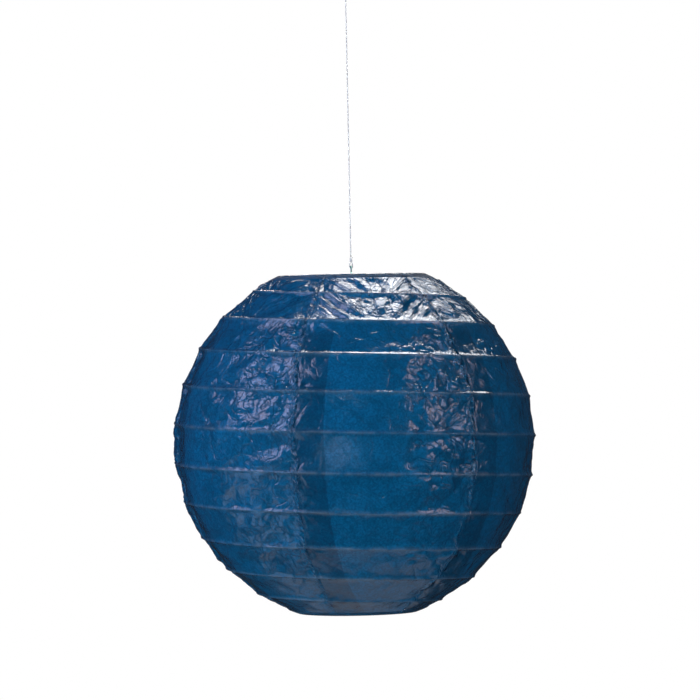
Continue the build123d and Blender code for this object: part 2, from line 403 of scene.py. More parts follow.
def creased(points, cell, seed, bend=0.45):
    """Noise from -1 to 1 made of flat facets, about a cell wide, that meet in sharp folds."""
    rng = np.random.default_rng(seed)
    heights = rng.uniform(-1, 1, HEIGHTS)
    grid_turn = np.linalg.qr(rng.normal(size=(3, 3)))[0]
    warp = np.stack([swell(points, WARP_CELLS * cell, seed + 7 + axis) for axis in range(3)], -1)
    place = (points + bend * cell * warp) @ grid_turn / cell + GRID_SHIFT
    corner = np.floor(place).astype(np.int64)
    inside = place - corner
    order = np.argsort(-inside, axis=1)
    shares = np.take_along_axis(inside, order, axis=1)
    shares = np.column_stack((np.ones(len(points)), shares, np.zeros(len(points))))
    total = np.zeros(len(points))
    rows = np.arange(len(points))
    # each place lies in a small tetrahedron of the grid, whose four corners are taken in turn
    for step in range(4):
        key = corner[:, 0] * MIXERS[0] ^ corner[:, 1] * MIXERS[1] ^ corner[:, 2] * MIXERS[2]
        total += heights[key & (HEIGHTS - 1)] * (shares[:, step] - shares[:, step + 1])
        if step < 3:
            corner[rows, order[:, step]] += 1
    return total


trial = creased(np.arange(600.0).reshape(-1, 3), 5, 1)
print(f"creases run from {trial.min():.2f} to {trial.max():.2f}")


# %% [markdown]
# Where the paper is crumpled depends on how it was made and handled. The seams pucker as the glue
# dries. Near the small top ring the paper has too much width, so long folds run down and away from
# each seam. Where a seam crosses a rib, a small star of folds spreads from the crossing. Each gore
# also has its own strengths of plain crumpling: beside its own edge, in its middle, and beside the
# next gore. A fold's steepness matters more than its height, so facets are sized by their slope.

# %% Let the seams stray
SEAM_EASE = 12.0         # past a hem, a seam strays fully only from here
SEAM_BEND, SEAM_KINK = 1.1, 0.45          # how far it strays smoothly, and in kinks
FACET_GAIN = 1.5         # of a facet's rise over its cell, for its slope to come out right


def seam_wander(number, down):
    """How far a seam strays from its meridian, in millimetres, at distances down the paper."""
    places = np.column_stack((down, np.full_like(down, 100.0 * number), np.zeros_like(down)))
    held_above = smooth(HEM_LENGTH, HEM_LENGTH + SEAM_EASE, down)
    held_below = smooth(HEM_LENGTH, HEM_LENGTH + SEAM_EASE, paper_length - down)
    straying = SEAM_BEND * swell(places, 17, 40) + SEAM_KINK * creased(places, 5, 41)
    return held_above * held_below * straying


def facets(points, cell, slope, seed, bend=0.45):
    """Creases a cell apart, between facets that lean by about a slope, in millimetres."""
    return creased(points / cell, 1.0, seed, bend) * slope * cell * FACET_GAIN


# %% Say where each gore is crumpled
CRUMPLED = {  # beside its own edge, in its middle, beside the next gore, and along its top
    1: (0.26, 0.22, 1.0, 1.25),
    2: (0.4, 0.3, 0.45, 0.7),
    3: (0.5, 0.6, 0.8, 0.9),
    4: (0.6, 0.35, 0.6, 1.0),
    5: (0.4, 0.6, 0.9, 0.8),
    6: (0.3, 0.7, 0.85, 0.6),
}
PLACES_ACROSS = (0, 0.2, 0.45, 0.72, 1.0)
PLAIN_CREASES = ((16, 0.09, 11), (8, 0.11, 12), (4, 0.09, 13))   # cell, slope and seed
PULLED_FROM, PULLED_TO = 46.0, 58.0   # how far down the paper the tight folds at the top reach
LOW_FROM, LOW_TO = 0.55, 0.75         # of the way down, where the smoother lower paper begins
LOW_CALM, TOP_CALM = 0.25, 0.42       # the lower paper loses this share, and the top keeps this one
PATCH_WIDTH, PATCH_LEVEL, PATCH_SWING = 38.0, 0.8, 0.45   # of handled and unhandled patches
LEAST_CRUMPLED, MOST_CRUMPLED = 0.32, 1.4


def crumple_share(number, across, down, points, pulled, low_down):
    """How strongly the paper is plainly crumpled at each point."""
    own, middle, next_one, at_top = CRUMPLED[number]
    amount = np.interp(across, PLACES_ACROSS, (own, own, middle, next_one, next_one))
    patches = PATCH_LEVEL + PATCH_SWING * swell(points, PATCH_WIDTH, 3)
    amount = amount * (1 - LOW_CALM * low_down) * patches * (1 - pulled) + TOP_CALM * at_top * pulled
    return np.clip(amount, LEAST_CRUMPLED, MOST_CRUMPLED)


# %% Add the folds round the seams
FAN_LEAN = (0.6, 0.8)    # the way a long fold runs: across the seam, and down
FAN_CELL = (4.4, 34, 1)  # of a long fold: across it, along it, and between seams
FAN_RISE, FAN_FADE = (1, 6), (18, 45)     # from the seam, where the long folds start and fade
FAN_LOSS, FAN_BELOW = 0.65, 0.12          # the share they lose as they fade, and keep lower down
FAN_SLOPE = 1.2
PUCKER_CELL = (1.7, 2.7)
PUCKER_SLOPE = 1.1
PUCKER_REACH = 4.2       # from the seam
PUCKER_ON_TOP = 0.3      # of the puckers, on the gore that lies on top
PUCKER_LOSS = 0.55       # the share they lose in the lower paper
STAR_SLOPE = 0.3
STAR_REACH = 9.0         # from a crossing
STAR_RAYS, STAR_LENGTH = 1.7, 30          # rays to a radian, and how soon a ray changes
STAR_FULL = 5            # from a crossing, where its folds are at their highest


def crumple(number, across, from_seam, to_seam, azimuth, down):
    """The height of the paper's creases, in millimetres, and what the finish needs to add finer ones."""
    points = on_ball(azimuth, down, ball_radius)
    at_top = CRUMPLED[number][3]
    pulled = 1 - smooth(PULLED_FROM, PULLED_TO, down)
    low_down = smooth(LOW_FROM, LOW_TO, down / paper_length)
    amount = crumple_share(number, across, down, points, pulled, low_down)
    height = amount * sum(facets(points, *crease) for crease in PLAIN_CREASES)

    first_side = from_seam < to_seam
    near = np.minimum(from_seam, to_seam)
    seam_name = np.where(first_side, number, number + 1)
    turn, above = turn_of_rib(azimuth, down)
    after_rib = down - above
    to_rib = np.where(after_rib > RIB_PITCH / 2, after_rib - RIB_PITCH, after_rib)

    # long folds lean away from the seam, are longest at the top and fade towards the gore's middle
    # the last number of a place sets the noise of each side, gore, seam and turn apart
    fan_place = np.column_stack((
        down * FAN_LEAN[1] - near * FAN_LEAN[0], down * FAN_LEAN[0] + near * FAN_LEAN[1],
        np.where(first_side, 0.0, 40.0) + 90.0 * number + 11.0 * turn,
    ))
    fan = smooth(*FAN_RISE, near) * (1 - FAN_LOSS * smooth(*FAN_FADE, near))
    fan = fan * (FAN_BELOW + (1 - FAN_BELOW) * pulled)
    height += fan * at_top * facets(fan_place / FAN_CELL, 1.0, FAN_SLOPE, 21, bend=0.25)

    # puckers along the glue line, stronger on the paper underneath
    glued = np.where(first_side, PUCKER_ON_TOP, 1.0) * np.exp(-(near / PUCKER_REACH) ** 2)
    glued = glued * (1 - PUCKER_LOSS * low_down)
    pucker_place = np.column_stack((near / PUCKER_CELL[0], down / PUCKER_CELL[1], 60.0 * seam_name))
    height += glued * facets(pucker_place, 1.0, PUCKER_SLOPE, 31)

    # stars where the seam crosses a rib
    outward = np.where(first_side, from_seam, -to_seam)
    reach = np.hypot(outward, to_rib)
    star_turn = turn + (after_rib > RIB_PITCH / 2)
    star_name = 17.0 * star_turn + 5.0 * seam_name
    bearing = np.arctan2(to_rib, outward)
    star_place = np.column_stack((bearing * STAR_RAYS, reach / STAR_LENGTH, star_name))
    star = facets(star_place, 1.0, STAR_SLOPE, 51, bend=0.2)
    height += np.minimum(reach, STAR_FULL) * np.exp(-(reach / STAR_REACH) ** 2) * star
    return height, {"crumple_amount": amount, "glued": glued, "fan": fan}, fan_place


# %% [markdown]
# ## The gores
# A gore is a grid of points: its columns run from ring to ring, and its rows run along the spiral,
# so that the fold over each rib is a clean line. Rows that would start above a ring are cut off at
# the ring. Extra rows carry the paper round the ring and back inside as the hem, and extra columns
# carry it under the next gore as the glued tab. A second grid, one paper thickness further in,
# closes the sheet. A gore could be one mesh, but its wall flattens when the lantern folds up and its
# hems stay round the stiff rings, so the grid is cut level with each ring into three closed pieces.

# %% Choose the grid's rows and columns
NEAR_RIB = [0, 0.35, 0.7, 1.1, 1.6, 2.3, 3.2]   # rows this far from a rib
NEAR_SEAM = 6.0          # from a seam, where the columns are close together
ROW_STEP, COLUMN_STEP, SEAM_STEP = 1.2, 1.22, 0.62


def spaced(start, end, step):
    """Even steps from start to end, both included, no longer than step."""
    return np.linspace(start, end, int(np.ceil((end - start) / step)) + 1)


band_rows = np.unique(np.round(np.concatenate((
    NEAR_RIB, spaced(NEAR_RIB[-1], RIB_PITCH - NEAR_RIB[-1], ROW_STEP), RIB_PITCH - np.array(NEAR_RIB),
)), 6))[:-1]
turns = np.arange(-1, int(paper_length / RIB_PITCH) + 1)
spiral_rows = (turns[:, None] * RIB_PITCH + band_rows[None, :]).ravel()

equator_width = radians(GORE_WIDTH) * ball_radius
wall_columns = np.concatenate((
    spaced(0, NEAR_SEAM, SEAM_STEP)[:-1],
    spaced(NEAR_SEAM, equator_width - NEAR_SEAM, COLUMN_STEP)[:-1],
    spaced(equator_width - NEAR_SEAM, equator_width, SEAM_STEP),
)) / equator_width
tab_columns = np.array([0.3, 0.9, 1.8, 3.2, 5.2, 7.6, 10.2, 12.8, 15.2, 17.4, 19.0, TAB_WIDTH])
wall_count, column_count = len(wall_columns), len(wall_columns) + len(tab_columns)
column_share = np.concatenate((wall_columns, np.ones(len(tab_columns))))
tab_reach = np.concatenate((np.zeros(wall_count), tab_columns))
print(len(spiral_rows), "spiral rows,", column_count, "columns")

# %% Carry the paper round a ring
TAIL_GAP = 0.2           # between the hem's free end and the wall
FOLD_STEPS, TAIL_STEPS = 10, 4            # round the ring, and along the tail
fold_turns = np.linspace(0, 1, FOLD_STEPS + 1)[1:]
tail_steps = np.linspace(0, HEM_LENGTH, TAIL_STEPS + 1)[1:]


def hem_points(azimuth, top, inward):
    """Columns of points round a ring and along the folded tail, for one face of the paper."""
    side = 1 if top else -1
    radius, height = (top_radius, top_height) if top else (bottom_radius, bottom_height)
    direction = top_latitude if top else bottom_latitude
    closing = 2 * (hem_radius - PAPER) - TAIL_GAP - HEM_LENGTH ** 2 / (2 * ball_radius)
    turn = pi + asin(closing / HEM_LENGTH)
    face_radius = hem_radius - inward
    profile = [(face_radius, direction + side * turn * share, 0.0) for share in fold_turns]
    profile += [(face_radius, direction + side * turn, step) for step in tail_steps]
    points = []
    for reach, angle, along in profile:
        run_angle = angle + side * pi / 2
        flat = radius + reach * cos(angle) + along * cos(run_angle)
        rise = height + reach * sin(angle) + along * sin(run_angle)
        spin = np.radians(azimuth)
        points.append(np.stack((flat * np.cos(spin), flat * np.sin(spin), np.full_like(spin, rise)), -1))
    return np.array(points)


hem_count = len(fold_turns) + len(tail_steps)
print(hem_count, "rows go round each ring and back inside")

# %% Lay the rows down the paper
HEM_ROWS = 2             # between a ring's crest and the height of its centre
ROW_MARGIN = 0.3         # no spiral row comes closer than this to the rows along a ring
FOLD_GAP = 0.12          # where the wall folds against the bottom hem


def grid_down(number):
    """How far down the paper each point of a gore's wall is, row by row."""
    seam = FIRST_SEAM_AZIMUTH + (number - 1) * GORE_WIDTH
    phase = (seam + column_share * GORE_WIDTH - RIB_START_AZIMUTH) / 360
    phase -= np.floor(phase[0])
    down = spiral_rows[:, None] + RIB_PITCH * phase[None, :]
    first, last = wall_top + ROW_MARGIN, wall_bottom - ROW_MARGIN
    down = down[(down.max(1) > first) & (down.min(1) < last)]
    # a few rows run along the rings, and the spiral ones are held between them
    spiral = np.where(down < first, wall_top, np.where(down > last, wall_bottom, down))
    on_top_ring = np.linspace(0, wall_top, HEM_ROWS + 1)
    on_bottom_ring = np.append(wall_bottom, np.linspace(wall_bottom + FOLD_GAP, paper_length, HEM_ROWS + 1))
    above, below = (np.repeat(row[:, None], column_count, axis=1) for row in (on_top_ring, on_bottom_ring))
    return np.vstack((above, spiral, below))


# %% Spread the columns across a gore
FAR_AWAY = 500.0         # stands for a seam on the far side of a tab
WANDER_SHARE = 0.22      # of a gore's width that a straying seam takes with it
MOST_REACH = 0.95        # of the distance from the axis, for a tab in the small mouth


def spread_across(number, down):
    """Azimuth, share of the way across, distance from both seams, and distance from the axis."""
    seam = FIRST_SEAM_AZIMUTH + (number - 1) * GORE_WIDTH
    flat_radius = ball_radius * np.cos(top_latitude - down / ball_radius)
    tab_angle = np.degrees(np.arcsin(np.clip(tab_reach / flat_radius, 0, MOST_REACH)))
    across = np.broadcast_to(column_share, down.shape)
    own_wander = seam_wander(number, down.ravel()).reshape(down.shape)
    next_wander = seam_wander(number % GORE_COUNT + 1, down.ravel()).reshape(down.shape)
    wander = own_wander * (1 - smooth(0.0, WANDER_SHARE, across))
    wander = wander + next_wander * smooth(1 - WANDER_SHARE, 1.0, across)
    azimuth = seam + column_share * GORE_WIDTH + tab_angle + np.degrees(wander / flat_radius)
    width = flat_radius * radians(GORE_WIDTH)
    from_seam = np.where(tab_reach > 0, tab_reach, across * width)
    to_seam = np.where(tab_reach > 0, FAR_AWAY, (1 - across) * width)
    return azimuth, across, from_seam, to_seam, flat_radius


# %% Crease a gore's wall and tuck its edge
SEAM_DIP, SEAM_DIP_REACH = 0.8, 9.0   # the stiff glued seam pulls each band in
DIP_PATCH, DIP_UNEVEN = 60.0, 0.5     # width of the patches that dip more or less, and by what share
TUCK_FROM, TUCK_TO = -1.3, -0.05      # before the seam, where the wall slips under the next gore


def shape_wall(number, down, azimuth, across, from_seam, to_seam):
    """The radius of the outer face at each point, and what the finish needs to know there."""
    is_tab = np.broadcast_to(tab_reach > 0, down.shape)
    # a tab has the creases of the gore that it lies under
    field = np.where(is_tab, number % GORE_COUNT + 1, number).ravel()
    places = [grid.ravel() for grid in (np.where(is_tab, 0.0, across), from_seam, to_seam, azimuth, down)]
    heights, fan_place = np.zeros(down.size), np.zeros((down.size, 3))
    looks = {label: np.zeros(down.size) for label in ("crumple_amount", "glued", "fan")}
    for which in np.unique(field):
        pick = field == which
        heights[pick], found, fan_place[pick] = crumple(int(which), *(place[pick] for place in places))
        for label, values in found.items():
            looks[label][pick] = values
    azimuth, down = azimuth.ravel(), down.ravel()
    near_seam = np.exp(-(np.minimum(from_seam, to_seam) / SEAM_DIP_REACH) ** 2).ravel()
    uneven = 1 + DIP_UNEVEN * swell(on_ball(azimuth, down, ball_radius), DIP_PATCH, 5)
    radius, freedom, looks["crest"] = band_at(azimuth, down, BAND_DIP * uneven + SEAM_DIP * near_seam)
    tucked = smooth(TUCK_FROM, TUCK_TO, np.where(is_tab, 0.0, -to_seam)).ravel()
    return radius + freedom * heights - LAYER_DROP * tucked, looks, fan_place


# %% Choose which cells of the grid have paper
def paper_cells(down):
    """One number for each grid point, shared where a ring cuts rows off, and the cells to keep."""
    rows = len(down)
    ids = np.arange((rows + 2 * hem_count) * column_count).reshape(-1, column_count)
    split_top, split_bottom = hem_count + HEM_ROWS, hem_count + rows - 2 - HEM_ROWS
    for row in range(split_top + 1, split_bottom):
        place = down[row - hem_count]
        ids[row] = np.where(place <= wall_top, ids[split_top], ids[row])
        ids[row] = np.where(place >= wall_bottom, ids[split_bottom], ids[row])
    # the tab stops short of the hems, so its columns have no faces there
    last_wall = hem_count + rows - 1
    keep = np.ones((len(ids) - 1, column_count - 1), bool)
    keep[:hem_count, wall_count - 1:] = False
    keep[last_wall:, wall_count - 1:] = False
    middle = (down[:-1] + down[1:]) / 2
    middle = (middle[:, :-1] + middle[:, 1:]) / 2
    in_tab = (middle > rib_first) & (middle < rib_last)
    keep[hem_count:last_wall, wall_count - 1:] &= in_tab[:, wall_count - 1:]
    spans = {
        "top_hem": slice(0, split_top), "paper": slice(split_top, split_bottom),
        "bottom_hem": slice(split_bottom + 1, None),
    }
    return ids, keep, spans


# %% Close a sheet
def closed_sheet(name, points, ids, keep, span, looks, places):
    """The rows of a sheet that lie in a span, both faces and their edges, with stored values."""
    quads = np.stack((ids[:-1, :-1], ids[1:, :-1], ids[1:, 1:], ids[:-1, 1:]), -1)[span][keep[span]]
    quads = quads[(quads[:, 0] != quads[:, 1]) | (quads[:, 2] != quads[:, 3])]
    offset = ids.size
    edges, faces = {}, []
    for quad in quads.tolist():
        corners = [p for i, p in enumerate(quad) if p != quad[i - 1]]
        faces.append(corners)
        faces.append([p + offset for p in reversed(corners)])
        for a, b in zip(corners, corners[1:] + corners[:1]):
            if (b, a) in edges:
                del edges[b, a]
            else:
                edges[a, b] = True
    on_faces = len(faces)
    faces += [[b, a, a + offset, b + offset] for a, b in edges]
    used = np.zeros(len(points), bool)
    used[np.concatenate([np.array(face) for face in faces])] = True
    renumber = np.cumsum(used) - 1
    sheet = add_mesh(name, points[used], [[int(renumber[p]) for p in face] for face in faces])
    sheet.data.polygons.foreach_set("use_smooth", np.arange(len(faces)) < on_faces)
    for label, values in looks.items():
        at_points = sheet.data.attributes.new(label, "FLOAT", "POINT").data
        at_points.foreach_set("value", values[used].astype(np.float32))
    for label, values in places.items():
        at_points = sheet.data.attributes.new(label, "FLOAT_VECTOR", "POINT").data
        at_points.foreach_set("vector", values[used].astype(np.float32).ravel())
    return sheet


# %% Build the gores
PAST_RING = 3.0          # a hem's folded tail counts as this far past its ring, for the finish


def on_both_faces(grid, rows, in_top_hem=0.0, in_bottom_hem=0.0):
    """A value for every point of both faces, from its grid on the wall and its values in the hems."""
    shape = (hem_count, column_count)
    top, bottom = np.broadcast_to(in_top_hem, shape), np.broadcast_to(in_bottom_hem, shape)
    face = np.concatenate((top, grid.reshape(rows, column_count), bottom)).ravel()
    return np.concatenate((face, face))


def build_gore(number):
    """The wall and the two hems of one gore, with what their finish needs stored at each point."""
    down = grid_down(number)
    rows = len(down)
    azimuth, across, from_seam, to_seam, flat_radius = spread_across(number, down)
    surface, looks, fan_place = shape_wall(number, down, azimuth, across, from_seam, to_seam)
    layers = []
    for inward in (0.0, PAPER):
        wall = on_ball(azimuth.ravel(), down.ravel(), surface - inward).reshape(rows, column_count, 3)
        top, bottom = hem_points(azimuth[0], True, inward), hem_points(azimuth[-1], False, inward)
        layers.append(np.concatenate((top[::-1], wall, bottom)).reshape(-1, 3))
    points = np.concatenate(layers) * MM

    from_edge = flat_radius * np.sin(np.radians(across * GORE_WIDTH))
    from_edge = np.where(tab_reach > 0, tab_reach, from_edge)
    looks = {label: on_both_faces(values, rows) for label, values in looks.items()}
    looks["from_edge"] = on_both_faces(from_edge, rows, from_edge[0], from_edge[-1])
    looks["down"] = on_both_faces(down, rows, -PAST_RING, paper_length + PAST_RING)
    places = {
        "at_rest": points,
        "on_sheet": np.stack((
            on_both_faces(from_seam * MM, rows), looks["down"] * MM, np.full(len(points), 0.5 * number),
        ), -1),
        "fan_place": np.stack([on_both_faces(column, rows) for column in fan_place.T], -1),
    }
    ids, keep, spans = paper_cells(down)
    return {
        part: closed_sheet(f"gore_{number}_{part}", points, ids, keep, span, looks, places)
        for part, span in spans.items()
    }


sheets = [build_gore(number) for number in range(1, GORE_COUNT + 1)]
for sheet in sheets:
    print(", ".join(f"{part.name} {len(part.data.polygons)} faces" for part in sheet.values()))

# %% [markdown]
# ## The spiral rib
# The rib is one spring-steel wire, glued to the inside of the paper. It flattens with the paper when
# the lantern is folded up, which a rigid CAD piece can't show, so a tube along the same spiral
# stands for it.

# %% Wind the rib
RIB_POINTS = 900
rib_reach = ball_radius - LAYER_DROP - PAPER - RIB_WIRE_RADIUS
rib_down = np.linspace(rib_first, rib_last, RIB_POINTS)
rib_path = on_ball(RIB_START_AZIMUTH + 360 * rib_down / RIB_PITCH, rib_down, rib_reach) * MM
rib = tube("rib_wire", rib_path, RIB_WIRE_RADIUS * MM, sides=8)
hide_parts("rib_spiral")
print(f"rib {np.linalg.norm(np.diff(rib_path, axis=0), axis=1).sum():.2f} m long")

# %% [markdown]
# ## How the soft pieces move
# The paper and the rib hang on the top ring. When the bottom ring is pushed up, they fold down to
# a thick disc, and the share of their height that they keep is worked out from the model. Real paper
# would fold between the turns of the rib. Each hem rides on the ring inside it.

# %% Let the paper and the rib ride on their bodies
travel = next(joint["range_m"][1] for joint in frame["joints"] if joint["name"] == "collapse")
height_between = (top_height - bottom_height) * MM
kept_share = (height_between - travel) / height_between
for piece in [*(sheet["paper"] for sheet in sheets), rib]:
    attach(piece, "shade")
    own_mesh(piece)
for sheet in sheets:
    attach(sheet["top_hem"], "shade")
    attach(sheet["bottom_hem"], "bottom_ring")
print(f"folded up, the paper keeps {kept_share:.3f} of its height")

# %% Hide the gores' solids and give the size of the sheet each is cut from
flat_width = (equator_width + TAB_WIDTH) * MM
flat_length = (paper_length + 2 * HEM_LENGTH + 2 * hem_radius * pi) * MM
for number, sheet in enumerate(sheets, 1):
    for part in sheet.values():
        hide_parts(f"gore_{number}")
print(f"each gore is cut {flat_width:.4f} m wide and {flat_length:.4f} m long")

# %% [markdown]
# ## Shader maths
# A finish is a chain of small sums on masks and noises. Written with nodes alone those are hard to
# read, so a socket is wrapped in a class with Python's operators: each one adds a Math node.

# %% Wrap sockets
class Strand:
    """One output of a material's nodes, which plain arithmetic can be done with."""

    def __init__(self, recipe, socket):
        self.recipe, self.socket = recipe, socket

    def math(self, operation, *others):
        """The result of one Math node on this value and others."""
        return self.recipe.node("Math", {"operation": operation}, dict(enumerate((self, *others))))

    def __add__(self, other):
        return self.math("ADD", other)

    def __mul__(self, other):
        return self.math("MULTIPLY", other)

    def __sub__(self, other):
        return self.math("SUBTRACT", other)

    def __rsub__(self, other):
        return self.recipe.node("Math", {"operation": "SUBTRACT"}, {0: other, 1: self})

    def __gt__(self, other):
        return self.math("GREATER_THAN", other)

    def __lt__(self, other):
        return self.math("LESS_THAN", other)

    __radd__, __rmul__ = __add__, __mul__

    def between(self, low, high):
        """1 where the value lies between low and high, and 0 elsewhere."""
        return (self > low) * (self < high)

    def ranged(self, low, high, to_low=0.0, to_high=1.0):
        """The value moved from one range to another, and held inside it."""
        limits = {0: self, 1: low, 2: high, 3: to_low, 4: to_high}
        return self.recipe.node("MapRange", {"clamp": True}, limits)


class Recipe:
    """The nodes of a material or of the world, being mixed: it adds nodes and hands back their outputs."""

    def __init__(self, block):
        self.block = block
        block.use_nodes = True
        self.tree = block.node_tree
        self.tree.nodes.clear()

    def node(self, kind, settings=None, inputs=None, output=0):
        """Adds a node of a type, sets its settings, then its sockets, and gives one of its outputs."""
        made = self.tree.nodes.new("ShaderNode" + kind)
        for key, value in (settings or {}).items():
            setattr(made, key, value)
        for key, value in (inputs or {}).items():
            if isinstance(value, Strand):
                self.tree.links.new(value.socket, made.inputs[key])
            else:
                made.inputs[key].default_value = value
        return Strand(self, made.outputs[output])

    def blend(self, share, first, second):
        """Two colours mixed by a share."""
        return self.node("Mix", {"data_type": "RGBA"}, {0: share, 6: first, 7: second}, 2)

    def noise(self, place, scale, detail=2.0, distortion=0.0):
        """Cloudy noise from 0 to 1 at a place, with so many clouds to a unit."""
        settings = {"Vector": place, "Scale": scale, "Detail": detail, "Distortion": distortion}
        return self.node("TexNoise", {}, settings)

    def stretched(self, place, scale):
        """A place scaled differently along each axis."""
        return self.node("Mapping", {}, {"Vector": place, "Scale": scale})

    def attribute(self, name, output=2):
        """A value stored on the mesh: output 1 for a place, and 2 for a number."""
        return self.node("Attribute", {"attribute_name": name}, {}, output)

    def finish(self, shader, kind="Material"):
        """Links the shader to the output, and gives the material or the world."""
        output = self.tree.nodes.new("ShaderNodeOutput" + kind)
        self.tree.links.new(shader.socket, output.inputs["Surface"])
        return self.block


def recipe(name):
    """A new, empty material's recipe."""
    return Recipe(bpy.data.materials.new(name))


def paint(obj, material):
    """Gives an object one material."""
    obj.data.materials.clear()
    obj.data.materials.append(material)


print("a sum such as 1 - mask adds one Math node")

# %% [markdown]
# ## Blue paper
# The paper is thin, dyed through and pressed to a waxy gloss. Its colour is painted darker where two
# layers lie on each other, at the tabs and the hems, as painted shade for the light that comes through
# less there, and along every crease, as painted shade in the folds. Over the ribs and in flecks beside
# the glue it is painted paler, as painted highlights, and dark flecks there are painted shadow in the
# puckers. The hems are matt, and step down from the ring inside them. The mesh has the folds that can
# be felt. Those too fine for it are stored as how strongly each place is crumpled, glued or pulled,
# and the finish adds them as relief: the fold lines are where a smooth noise crosses its middle,
# which is where paper between facets bends.

# %% Choose the paper's colours and textures
PAPER_BLUE = (0.0015, 0.072, 0.178)
# painted highlight: paler blue over the ribs and in flecks along the glue
GLINT_BLUE = (0.11, 0.19, 0.27, 1)      # over the ribs and along the glue
GLOW_BLUE = (0.03, 0.3, 0.6, 1)          # of light that comes through
GLOW_SHARE = 0.15
# painted shade: doubled paper is painted darker, for the light that comes through two layers less
DOUBLED_SHADE_SHARE = 0.36                     # of its depth that doubled paper loses
# painted shade in every crease
CREASE_SHADE_SHARE = 0.42                      # and that a crease loses
TAB_SHOWS_FROM = 58.0                    # down the paper: further up its edge is lost in the folds
TAB_EASE = 8.0
MOTTLE, GRAIN = 55.0, 700.0              # of the dye and of the fibres, to a metre
BROAD_FOLDS, FINE_FOLDS = 60.0, 150.0
STREAK_CELLS, FLECK_CELLS = (0.36, 0.045, 1), (700, 330, 1)
RELIEF_DEPTH = 0.0008
HEM_STEP_FROM, HEM_STEP = 1.0, 4.2       # a hem steps down from the ring by so many relief depths
MATT_FROM, MATT_HEM = 1.9, 0.6           # the hem's added roughness


# %% Mix the paper
def mix_paper():
    """The finish of all six gores."""
    paper = recipe("blue_paper")
    at_rest, on_sheet = paper.attribute("at_rest", 1), paper.attribute("on_sheet", 1)
    fan_place = paper.attribute("fan_place", 1)
    edge, down, crest = (paper.attribute(name) for name in ("from_edge", "down", "crest"))
    crumple_amount, glued, fan = (paper.attribute(name) for name in ("crumple_amount", "glued", "fan"))
    from_ring = down.math("MINIMUM", paper_length - down)
    hem = from_ring < HEM_LENGTH
    tab = edge.between(0.0, TAB_WIDTH) * down.ranged(TAB_SHOWS_FROM, TAB_SHOWS_FROM + TAB_EASE)
    doubled = (tab + hem).math("MINIMUM", 1.0)
    mottle, grain = paper.noise(at_rest, MOTTLE, 5.0), paper.noise(at_rest, GRAIN, 3.0)

    def folds(place, scale, width, detail=1.5, distortion=0.9):
        """Sharp grooves where a smooth noise crosses its middle, and flat paper between them."""
        away = (paper.noise(place, scale, detail, distortion) * 2 - 1).math("ABSOLUTE")
        return away.ranged(0.0, width)

    broad_folds, fine_folds = folds(at_rest, BROAD_FOLDS, 0.09), folds(at_rest, FINE_FOLDS, 0.13)
    streaks = folds(paper.stretched(fan_place, STREAK_CELLS), 1.0, 0.3)
    flecks = paper.noise(paper.stretched(on_sheet, FLECK_CELLS), 1.0, 2.0)

    depth = mottle.ranged(0.3, 0.7, 0.88, 1.12) * grain.ranged(0.35, 0.65, 0.74, 1.26)
    # painted shade where two layers lie, at the tabs and the hems
    depth = depth * (1 - doubled * DOUBLED_SHADE_SHARE)
    # painted shade along the creases, deepest where the paper is most crumpled
    depth = depth * (1 - (crumple_amount * 0.6 + 0.4) * (1 - broad_folds * fine_folds) * CREASE_SHADE_SHARE)
    # painted shadow: dark flecks beside the glue stand for shade in the puckers
    depth = depth * (1 - glued * flecks.ranged(0.42, 0.47, 0.5, 0.0))
    tint = paper.node("VectorMath", {"operation": "SCALE"}, {0: PAPER_BLUE, "Scale": depth})
    # painted highlight: the rib crests and flecks beside the glue are painted paler, for light off the
    # beads and the puckers
    painted_glints = crest * paper.noise(at_rest, 160.0).ranged(0.35, 0.6, 0.05, 0.35)
    painted_glints = painted_glints + glued * flecks.ranged(0.56, 0.62, 0.0, 0.55)
    colour = paper.blend(painted_glints, tint, GLINT_BLUE)

    relief = crumple_amount * (broad_folds * 0.4 + fine_folds * 0.2) + fan * streaks * 0.35 + glued * flecks * 3.0
    relief = relief + (crumple_amount * 0.7 + 0.3) * grain * 0.24
    relief = relief + from_ring.ranged(HEM_STEP_FROM, HEM_LENGTH, HEM_STEP, 0.0)
    normal = paper.node("Bump", {}, {"Strength": 1.0, "Distance": RELIEF_DEPTH, "Height": relief})
    gloss = mottle.ranged(0.35, 0.65, 0.11, 0.2) + from_ring.between(MATT_FROM, HEM_LENGTH) * MATT_HEM
    surface = paper.node("BsdfPrincipled", {}, {
        "Base Color": colour, "Roughness": gloss, "Normal": normal, "IOR": 1.5,
    })
    through = paper.node("BsdfTranslucent", {}, {"Color": GLOW_BLUE, "Normal": normal})
    return paper.finish(paper.node("MixShader", {}, {0: GLOW_SHARE, 1: surface, 2: through}))


blue_paper = mix_paper()
for sheet in sheets:
    for part in sheet.values():
        paint(part, blue_paper)
print(blue_paper.name, "has", len(blue_paper.node_tree.nodes), "nodes")

# %% [markdown]
# ## Wire and nylon
# The rings and the rib are drawn steel wire: fine lines run along it and it is duller in patches.
# The expander is zinc plated, and the blue-green cast in its colour is a painted reflection of the
# blue paper round it. Its eye shows above the rim. Real nylon is clear and shows only by what it
# bends. A line under a millimetre thick would break up into dots that way, so most of it is a pale
# grey surface, and only a part lets light by.

# %% Mix the wires
PATCHES, DRAWN_LINES = 90.0, 1800.0      # to a metre
LINE_RELIEF = 0.00005


